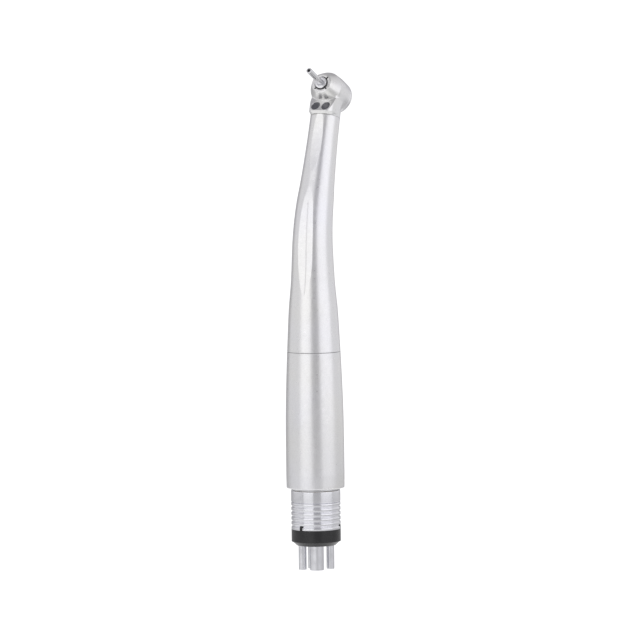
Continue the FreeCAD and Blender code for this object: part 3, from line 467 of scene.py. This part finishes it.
def smooth_curve(x, knots):
    """Cubic through the knots with limited slopes, so that it never overshoots."""
    kx, ky = knots[:, 0], knots[:, 1]
    step = np.diff(kx)
    rise = np.diff(ky) / step
    slope = np.zeros(len(kx))
    slope[0], slope[-1] = rise[0], rise[-1]
    for k in range(1, len(kx) - 1):
        if rise[k - 1] * rise[k] > 0:
            slope[k] = 2 / (1 / rise[k - 1] + 1 / rise[k])
    k = int(np.clip(np.searchsorted(kx, x) - 1, 0, len(step) - 1))
    h = step[k]
    t = (x - kx[k]) / h
    return ((2 * t ** 3 - 3 * t ** 2 + 1) * ky[k] + (t ** 3 - 2 * t ** 2 + t) * h * slope[k]
            + (3 * t ** 2 - 2 * t ** 3) * ky[k + 1] + (t ** 3 - t ** 2) * h * slope[k + 1])


def lens(x, start, stop):
    """Rises from 0 at both ends to 1 in the middle."""
    share = (x - start) / (stop - start)
    return math.sin(math.pi * share) ** 0.5 if 0 < share < 1 else 0.0


# Shallow thumb flats on the bur side: where they start and stop, and half their widest angle.
FLATS = ((71.5, 100.5, math.radians(23)), (105.5, 124.0, math.radians(21)))
FLAT_REACH, FLAT_SOFTNESS = math.radians(60), 0.025
# Fine hollow line in the first flat: start, stop, half its widest angle, and depth.
CREASE = (71.5, 96.5, math.radians(5.5), 0.07)
GRIP_WALL, GRIP_STEPS, BORE_STEPS = 0.8, 230, 30


def front_radius(distance, away):
    """Outer radius at a distance along the handle and an angle away from the bur side."""
    plain = smooth_curve(distance, PROFILE)
    out = plain
    for start, stop, widest in FLATS:
        half = widest * lens(distance, start, stop)
        if half > 0 and abs(away) < FLAT_REACH:
            chord = plain * math.cos(half) / math.cos(away)
            met = 0.5 * (plain + chord - math.hypot(plain - chord, FLAT_SOFTNESS))
            out = min(out, met + FLAT_SOFTNESS * 0.15)
    start, stop, widest, depth = CREASE
    half = widest * lens(distance, start, stop)
    if half > 0 and abs(away) < half:
        out -= depth * (1 - (away / half) ** 2)
    return out


def front_body():
    """Bent shell of the front body: up the outside from the seam, and down the bore."""
    mesh = bmesh.new()
    turns = [2 * math.pi * k / GRIP_SIDES - math.pi / 2 for k in range(GRIP_SIDES)]
    away = [(t + math.pi / 2 + math.pi) % (2 * math.pi) - math.pi for t in turns]

    def ring(distance, radii):
        y, z, lean = centreline(distance)
        made = []
        for turn, radius in zip(turns, radii):
            side, up = radius * math.cos(turn), radius * math.sin(turn)
            made.append(mesh.verts.new((side, y + up * math.cos(lean), z - up * math.sin(lean))))
        return made

    def plain(radius):
        return [radius] * GRIP_SIDES

    rings = [ring(47.9, plain(6.62)), ring(48.0, plain(6.72)), ring(54.97, plain(6.72)),
             ring(SEAM, plain(7.42)), ring(SEAM + 0.02, plain(7.49)),
             ring(SEAM + 0.08, plain(7.545))]
    for distance in np.linspace(SEAM + 0.25, NECK_END - 0.1, GRIP_STEPS):
        rings.append(ring(distance, [front_radius(distance, a) for a in away]))
    rings.append(ring(NECK_END - 0.03, plain(4.17)))
    rings.append(ring(NECK_END, plain(4.08)))
    rings.append(ring(NECK_END, plain(3.4)))
    for distance in np.linspace(NECK_END - 1, BEND_START, BORE_STEPS):
        rings.append(ring(distance, plain(smooth_curve(distance, PROFILE) - GRIP_WALL)))
    for distance, radius in ((74, 5.33), (67, 5.9), (47.9, 5.9)):
        rings.append(ring(distance, plain(radius)))
    joined_rings(mesh, rings, True)
    return mesh_object("grip_front", mesh)


piece(front_body(), "handpiece", "satin_shell", "front_body")

# ---------------------------------------------------------------- head


def polygon_distance(r, z, corners):
    """Signed distance to a closed outline, negative inside."""
    nearest = np.full(r.shape, 1e9)
    inside = np.zeros(r.shape, bool)
    for (ax, az), (bx, bz) in zip(corners, corners[1:] + corners[:1]):
        ex, ez = bx - ax, bz - az
        wx, wz = r - ax, z - az
        share = np.clip((wx * ex + wz * ez) / (ex * ex + ez * ez), 0, 1)
        nearest = np.minimum(nearest, np.hypot(wx - share * ex, wz - share * ez))
        crosses = (az > z) != (bz > z)
        if ez:
            inside ^= crosses & (r < ax + (z - az) * ex / ez)
    return np.where(inside, -nearest, nearest)


def soft_min(a, b, width):
    """The smaller of two distances, blended over a width where they are close."""
    share = np.clip(0.5 + 0.5 * (b - a) / width, 0, 1)
    return b + (a - b) * share - width * share * (1 - share)


def soft_max(a, b, width):
    return -soft_min(-a, -b, width)


FACE = 5.5  # height of the face round the drill blank
# Facet that carries the two windows: its tilt and a point on it.
LIFT = math.radians(48) - math.pi / 2 + BUR_ANGLE
WINDOW_Y, WINDOW_Z = -6.15, FACE - 1.9
WINDOW_SIDE, WINDOW_HALF_WIDTH, WINDOW_HALF_LENGTH, POCKET_GAP = 3.09 / 2, 1.18, 1.53, 0.06
STUB_RADIUS, STUB_END = 4.21, 8.09
# Brow over the neck: half its flat width, height of its corners, their radius, start and end.
BROW_SIDE, BROW_HEIGHT, BROW_RADIUS, BROW_START, BROW_END = 1.35, 2.68, 2.4, 3.2, 7.42
CAP_ROOM_RADIUS, CAP_ROOM_TOP = 5.08, -3.34
ROUNDING = 0.28  # of the housing's edges; the outline is drawn that much smaller
HEAD_OUTLINE = [(-5, -3.6), (4.95 - ROUNDING, -3.6), (4.95 - ROUNDING, -1.5),
                (4.85 - ROUNDING, 0.0), (4.7 - ROUNDING, 1.8), (3.85 - ROUNDING, 3.5),
                (2.96 - ROUNDING, FACE - ROUNDING), (-5, FACE - ROUNDING)]
CHAMBER = [(0, -4), (4.2, -4), (4.2, 0.85), (3.55, 0.85), (3.55, 3.3), (2.0, 3.3), (2.0, 4.7),
           (2.64, 4.7), (2.64, 6.5), (0, 6.5)]


def head_field(spots):
    """Distance field of the head housing in its own frame: +Z to the bur, -Y to the neck.

    down runs along the neck, and aside square to it towards the bur.
    """
    x, y, z = spots.T
    r = np.hypot(x, y)
    down = -y * math.cos(NECK_TIP) + z * math.sin(NECK_TIP)
    aside = y * math.sin(NECK_TIP) + z * math.cos(NECK_TIP)
    body = polygon_distance(r, z, HEAD_OUTLINE) - ROUNDING
    stub = np.maximum(np.hypot(x, aside) - STUB_RADIUS, -down)
    brow = np.hypot(np.maximum(np.abs(x) - BROW_SIDE, 0),
                    np.maximum(aside - BROW_HEIGHT, 0)) - BROW_RADIUS
    brow = soft_max(brow, -aside, 0.3) + np.maximum(down - BROW_END, 0) * 1.35
    brow = np.maximum(brow, BROW_START - down)
    arm = soft_min(stub, brow, 0.7)
    facet = (y - WINDOW_Y) * math.sin(LIFT) + (z - WINDOW_Z) * math.cos(LIFT)
    arm = soft_max(arm, facet, 0.12)
    # The arm runs softly into the body below, and sharply near the facet.
    blend = np.interp(aside, (0.5, 3.0), (1.5, 0.15))
    solid = soft_min(body, arm, blend)
    solid = soft_max(solid, down - STUB_END, 0.1)
    cap_room = np.maximum(r - CAP_ROOM_RADIUS, z - CAP_ROOM_TOP)
    return soft_max(solid, -cap_room, 0.1)


def surface_net(field, low, high, step):
    """Closed quad mesh on the zero level of a distance field: one point per crossed cell."""
    axes = [np.arange(a, b + step, step) for a, b in zip(low, high)]
    grid = np.stack(np.meshgrid(*axes, indexing="ij"), -1)
    value = field(grid.reshape(-1, 3)).reshape(grid.shape[:3])
    inside = value < 0
    shape = np.array(value.shape) - 1
    corners = [(i, j, k) for i in (0, 1) for j in (0, 1) for k in (0, 1)]

    def corner_slice(array, c):
        return array[c[0]:c[0] + shape[0], c[1]:c[1] + shape[1], c[2]:c[2] + shape[2]]

    total = sum(corner_slice(inside, c).astype(np.int8) for c in corners)
    active = (total > 0) & (total < 8)
    cells = np.argwhere(active)
    number = np.full(active.shape, -1, int)
    number[tuple(cells.T)] = np.arange(len(cells))
    place = np.zeros((len(cells), 3))
    hits = np.zeros(len(cells))
    for c in corners:
        for axis in range(3):
            if c[axis]:
                continue
            d = list(c)
            d[axis] = 1
            a = value[tuple((cells + c).T)]
            b = value[tuple((cells + d).T)]
            crossing = (a < 0) != (b < 0)
            share = np.where(crossing, a / np.where(crossing, a - b, 1), 0)
            spot = cells + np.array(c, float)
            spot[:, axis] += share
            place += np.where(crossing[:, None], spot, 0)
            hits += crossing
    place = place / hits[:, None] * step + np.array(low)
    # Each point then moves onto the surface along the field's slope.
    for _ in range(4):
        here = field(place)
        slope = np.stack([(field(place + d) - field(place - d)) / 0.02
                          for d in np.eye(3) * 0.01], -1)
        size = np.maximum((slope ** 2).sum(1), 0.25)
        move = slope * (here / size)[:, None]
        place -= np.clip(move, -step * 0.4, step * 0.4)
    faces = []
    for axis in range(3):
        one, two = [k for k in range(3) if k != axis]
        low_side = [slice(1, -1)] * 3
        high_side = [slice(1, -1)] * 3
        low_side[axis] = slice(0, -1)
        high_side[axis] = slice(1, None)
        change = inside[tuple(low_side)] != inside[tuple(high_side)]
        edge = np.argwhere(change)
        start = np.ones(3, int)
        start[axis] = 0
        edge = edge + start
        solid_first = inside[tuple(edge.T)]
        around = []
        for du, dv in ((-1, -1), (0, -1), (0, 0), (-1, 0)):
            cell = edge.copy()
            cell[:, one] += du
            cell[:, two] += dv
            around.append(number[tuple(cell.T)])
        quad = np.stack(around, 1)
        turn = solid_first if axis != 1 else ~solid_first
        quad[~turn] = quad[~turn][:, ::-1]
        faces.append(quad)
    return place, np.concatenate(faces)


def field_object(name, field, low, high, step, place):
    """Object in metres from a distance field in millimetres."""
    spots, faces = surface_net(field, low, high, step)
    data = bpy.data.meshes.new(name)
    data.from_pydata([tuple(s) for s in spots.tolist()], [], faces.tolist())
    data.update()
    data.transform(Matrix.Scale(MM, 4) @ place)
    data.polygons.foreach_set("use_smooth", [True] * len(data.polygons))
    data.set_sharp_from_angle(angle=math.radians(50))
    made = bpy.data.objects.new(name, data)
    bpy.context.scene.collection.objects.link(made)
    return made


def oval_plug(name, side, gap, layers):
    """Window shape square to the facet, wider by a gap all round.

    layers are (share of the size, height over the facet).
    """
    half_width, half_length = WINDOW_HALF_WIDTH + gap, WINDOW_HALF_LENGTH + gap
    mesh = bmesh.new()
    rings = []
    for grow, height in layers:
        if not grow:
            rings.append([mesh.verts.new((0, 0, height))])
            continue
        rings.append([mesh.verts.new((half_width * grow * math.cos(t),
                                      half_length * grow * math.sin(t), height))
                      for t in np.linspace(0, 2 * math.pi, SMALL_SIDES, endpoint=False)])
    joined_rings(mesh, rings, False)
    spot = HEAD @ Matrix.Translation((side, WINDOW_Y, WINDOW_Z)) @ Matrix.Rotation(-LIFT, 4, "X")
    return mesh_object(name, mesh, spot)


GRID = 0.1
GRID_LOW, GRID_HIGH = (-5.25, -8.6, -5.4), (5.25, 5.25, 5.8)
POCKET = ((0, -2.2), (1, -2.2), (1, 1.0), (0, 1.0))
NECK_HOLLOW = [(0, 5.2), (3.52, 5.2), (3.52, 9.0), (0, 9.0)]
HEAD_SHARP = 50.0
shell = field_object("head_shell", head_field, GRID_LOW, GRID_HIGH, GRID, HEAD)
neck_side = HEAD @ Matrix.Rotation(math.pi / 2 - NECK_TIP, 4, "X")
hollows = [turned("chamber", CHAMBER, HEAD), turned("neck_hollow", NECK_HOLLOW, neck_side)]
for number, side in enumerate((-WINDOW_SIDE, WINDOW_SIDE)):
    hollows.append(oval_plug("pocket_%d" % number, side, POCKET_GAP, POCKET))
piece(combine(shell, hollows, "DIFFERENCE", HEAD_SHARP), "handpiece", "satin_shell", "head_housing")

PANE = ((0, -0.98), (1, -0.98), (1, -0.08), (0.985, -0.04), (0.95, -0.015), (0.6, 0.01),
        (0.3, 0.02), (0, 0.022))
for name, side in (("left", -WINDOW_SIDE), ("right", WINDOW_SIDE)):
    piece(oval_plug("light_window_" + name, side, 0.0, PANE), "handpiece", "fibre_glass",
          "window_" + name)

spray = turned("spray_face_ring", [
    (2.0, FACE - 0.78), (2.62, FACE - 0.78), (2.62, FACE, 0.02), (2.0, FACE, 0.06)], HEAD)
slots = [block("slot_%d" % k, (1.9, -0.2, FACE - 0.5), (2.52, 0.2, FACE + 0.5),
               HEAD @ about(math.pi / 4 + k * math.pi / 2)) for k in range(4)]
piece(combine(spray, slots, "DIFFERENCE"), "handpiece", "satin_shell", "spray_ring",
      extra=PAINTED_SHADE_METAL)
# The walls and floors of the four spray marks get the painted shade.
to_head = HEAD.inverted()
for face in spray.data.polygons:
    spot = to_head @ (face.center / MM)
    if math.hypot(spot.x, spot.y) < 2.6 and FACE - 0.6 < spot.z < FACE - 0.1:
        face.material_index = 1

piece(turned("cap_back", [
    (3.57, -2.3), (4.17, -2.3), (4.17, -3.38), (4.95, -3.38, 0.08), (4.95, -4.55, 0.05),
    (4.87, -4.62, 0.03), (4.87, -4.70, 0.03), (4.95, -4.77, 0.05), (4.93, -6.45, 0.8),
    (3.45, -6.45, 0.12), (3.45, -5.8), (3.75, -5.8), (3.75, -5.15), (1.3, -5.15), (1.3, -4.75),
    (3.57, -4.75)], HEAD), "handpiece", "satin_shell", "back_cap")
piece(turned("button_cap", [
    (0, -4.93), (0.9, -4.93), (0.9, -5.6), (3.68, -5.6), (3.68, -5.78), (3.38, -5.78),
    (3.38, -6.52, 0.12), (2.9, -6.63, 0.3), (2.35, -6.7, 0.2), (1.9, -6.66, 0.4), (0.9, -6.55, 1.0),
    (0, -6.53)], HEAD), "button", "satin_shell", "push_button")

piece(turned("spindle_body", [
    (0.83, 2.1), (0.83, 6.1, 0.05), (0.95, 6.15, 0.05), (1.72, 6.15, 0.1), (1.72, 5.06, 0.05),
    (1.45, 5.05, 0.03), (1.45, 3.4), (1.5875, 3.4), (1.5875, -4.65), (1.2, -4.65),
    (1.2, 1.6)], HEAD, SPINDLE_SIDES), "rotor", "bright_steel", "spindle")

TIP = 14.985  # height of the drill blank's end
blank = turned("blank_shank", [
    (0, -2.7), (0.8, -2.7, 0.06), (0.8, TIP, 0.12), (0.5, TIP, 0.03), (0.42, TIP - 0.25),
    (0, TIP - 0.4)], HEAD, SMALL_SIDES)
piece(blank, "blank", "bright_steel", "drill_blank", extra=PAINTED_SHADE_METAL)
# The small hollow in the blank's end gets the painted shade.
bur_axis = HEAD.to_3x3() @ Vector((0, 0, 1))
for face in blank.data.polygons:
    middle = face.center / MM
    along = (middle - HEAD.translation).dot(bur_axis)
    off = (middle - HEAD.translation - bur_axis * along).length
    if along > TIP - 0.5 and off < 0.49:
        face.material_index = 1

# ---------------------------------------------------------------- springs

COIL_STEPS, WIRE_SIDES = 28, 10


def coil_spring(name, radius, wire, low, high, turns, place):
    """Round wire wound about Z, with closed ends."""
    mesh = bmesh.new()
    steps = turns * COIL_STEPS
    pitch = (high - low) / (turns * 2 * math.pi)
    rings = []
    for step in range(steps + 1):
        turn = turns * 2 * math.pi * step / steps
        outward = Vector((math.cos(turn), math.sin(turn), 0))
        along = Vector((-radius * math.sin(turn), radius * math.cos(turn), pitch)).normalized()
        middle = outward * radius + Vector((0, 0, low + pitch * turn))
        side = along.cross(outward)
        ring = [mesh.verts.new(middle + (outward * math.cos(t) + side * math.sin(t)) * wire)
                for t in np.linspace(0, 2 * math.pi, WIRE_SIDES, endpoint=False)]
        if step == 0:
            rings.append([mesh.verts.new(middle)])
        rings.append(ring)
        if step == steps:
            rings.append([mesh.verts.new(middle)])
    joined_rings(mesh, rings, False)
    return mesh_object(name, mesh, place)


# The rear end of the collar's spring stays, and the collar pushes its front end back.
wound = coil_spring("collar_return_coil", 5.86, 0.2, 3.85, 10.95, 5, Matrix.Identity(4))
piece(wound, "coupler", "bright_steel", "collar_spring")
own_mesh(wound)

# The front end of the chuck's spring stays, and the plunger pushes its rear end forward.
wound = coil_spring("chuck_return_coil", 1.085, 0.08, -3.3, -0.92, 7, HEAD)
piece(wound, "rotor", "bright_steel", "chuck_spring")
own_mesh(wound)

# ---------------------------------------------------------------- floor, light and camera


# The ground's glow fades with distance from a centre, both in metres.
GLOW_CENTRE, GLOW_REACH = (-0.06, -0.07, 0), (0.20, 0.30)
GLOW_NEAR, GLOW_FAR, GLOW_SEEN = 0.75, 0.28, 0.95
GROUND_GREY, GROUND_ROUGHNESS, GROUND_SHEEN = (0.35, 0.35, 0.35), 0.8, 0.1
GROUND_HALF = 30000  # half the ground's size in millimetres


def ground_finish(name):
    """Pale ground; it glows most around the object, and the eye sees it evenly white."""
    made = bpy.data.materials.new(name)
    made.use_nodes = True
    tree = made.node_tree
    shader = tree.nodes["Principled BSDF"]
    shader.inputs["Base Color"].default_value = (*GROUND_GREY, 1)
    shader.inputs["Roughness"].default_value = GROUND_ROUGHNESS
    shader.inputs["Specular IOR Level"].default_value = GROUND_SHEEN
    shader.inputs["Emission Color"].default_value = (1, 1, 1, 1)
    spot = tree.nodes.new("ShaderNodeTexCoord").outputs["Object"]
    reach = tree.nodes.new("ShaderNodeVectorMath")
    reach.operation = "DISTANCE"
    reach.inputs[1].default_value = GLOW_CENTRE
    link(tree, spot, reach.inputs[0])
    glow = spread(tree, reach.outputs["Value"], GLOW_NEAR, GLOW_FAR, *GLOW_REACH)
    eye = tree.nodes.new("ShaderNodeLightPath").outputs["Is Camera Ray"]
    choice = tree.nodes.new("ShaderNodeMapRange")
    choice.inputs["To Max"].default_value = GLOW_SEEN
    link(tree, eye, choice.inputs["Value"])
    link(tree, glow, choice.inputs["To Min"])
    link(tree, choice.outputs["Result"], shader.inputs["Emission Strength"])
    return made


# The object is shown hanging clear of the ground, so that no contact shadow falls.
FLOOR_DROP = 40.0
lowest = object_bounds()[0].z
floor_mesh = bmesh.new()
bmesh.ops.create_grid(floor_mesh, x_segments=1, y_segments=1, size=GROUND_HALF)
floor = mesh_object("floor", floor_mesh, Matrix.Translation((0, 0, lowest / MM - FLOOR_DROP)),
                    weighted=False)
floor.data.materials.append(ground_finish("pale_floor"))

# The sky lights the object softly, and the eye sees it white.
SKY_COLOUR, SKY_STRENGTH = (0.96, 0.95, 1.0), 0.46
world = bpy.data.worlds.new("studio")
bpy.context.scene.world = world
world.use_nodes = True
tree = world.node_tree
sky = tree.nodes["Background"]
sky.inputs["Color"].default_value = (*SKY_COLOUR, 1)
sky.inputs["Strength"].default_value = SKY_STRENGTH
seen = tree.nodes.new("ShaderNodeBackground")
seen.inputs["Color"].default_value = (1, 1, 1, 1)
seen.inputs["Strength"].default_value = 1.0
choice = tree.nodes.new("ShaderNodeMixShader")
link(tree, tree.nodes.new("ShaderNodeLightPath").outputs["Is Camera Ray"], choice.inputs["Fac"])
link(tree, sky.outputs["Background"], choice.inputs[1])
link(tree, seen.outputs["Background"], choice.inputs[2])
link(tree, choice.outputs["Shader"], tree.nodes["World Output"].inputs["Surface"])

AZIMUTH, ELEVATION, ROLL = math.radians(23.5), math.radians(4.0), math.radians(0.75)
VIEW_WIDTH, LENS, SENSOR = 181.1, 300.0, 36.0
DISTANCE = VIEW_WIDTH * LENS / SENSOR
TARGET, TARGET_SHIFT = Vector((0, 0, 63.9)), 1.87  # the shift is to the picture's right
CLIP = (0.05, 100)  # metres
# Panels stand around a point in the middle of the object; these are metres.
STUDIO_MIDDLE = Vector((0, 0, 0.08))
PANEL_DISTANCE, PANEL_HEIGHT, PANEL_LIFT = 0.6, 0.92, 0.08

to_camera = Vector((math.sin(AZIMUTH) * math.cos(ELEVATION),
                    -math.cos(AZIMUTH) * math.cos(ELEVATION), math.sin(ELEVATION)))
cameraward = Vector((to_camera.x, to_camera.y, 0)).normalized()
rightward = Vector((math.cos(AZIMUTH), math.sin(AZIMUTH), 0))


def panel(name, bearing, width, strength, colour=(1, 1, 1)):
    """Soft light; bearing is degrees from the camera's side towards the picture's right."""
    turn = math.radians(bearing)
    direction = cameraward * math.cos(turn) + rightward * math.sin(turn)
    light = bpy.data.lights.new(name, "AREA")
    light.shape = "RECTANGLE"
    light.size, light.size_y = width, PANEL_HEIGHT
    light.energy = strength * width * PANEL_HEIGHT * math.pi
    light.color = colour
    made = bpy.data.objects.new(name, light)
    made.location = STUDIO_MIDDLE + direction * PANEL_DISTANCE + Vector((0, 0, PANEL_LIFT))
    inward = STUDIO_MIDDLE - made.location
    made.rotation_euler = inward.to_track_quat("-Z", "Y").to_euler()
    made.visible_camera = False
    bpy.context.scene.collection.objects.link(made)


panel("left_panel", -36, 0.56, 0.78)
panel("right_panel", 54, 0.70, 0.76, (0.97, 0.97, 1.0))
panel("left_side", -97, 0.80, 0.36)
panel("right_side", 118, 0.80, 0.36)

camera_data = bpy.data.cameras.new("camera")
camera_data.lens, camera_data.sensor_width = LENS, SENSOR
camera_data.clip_start, camera_data.clip_end = CLIP
camera = bpy.data.objects.new("camera", camera_data)
bpy.context.scene.collection.objects.link(camera)
aim = (TARGET + rightward * TARGET_SHIFT) * MM
camera.location = aim + to_camera * DISTANCE * MM
camera.rotation_mode = "QUATERNION"
camera.rotation_quaternion = ((-to_camera).to_track_quat("-Z", "Y")
                              @ Matrix.Rotation(-ROLL, 3, "Z").to_quaternion())
bpy.context.scene.camera = camera
bpy.context.scene.view_settings.view_transform = "Standard"
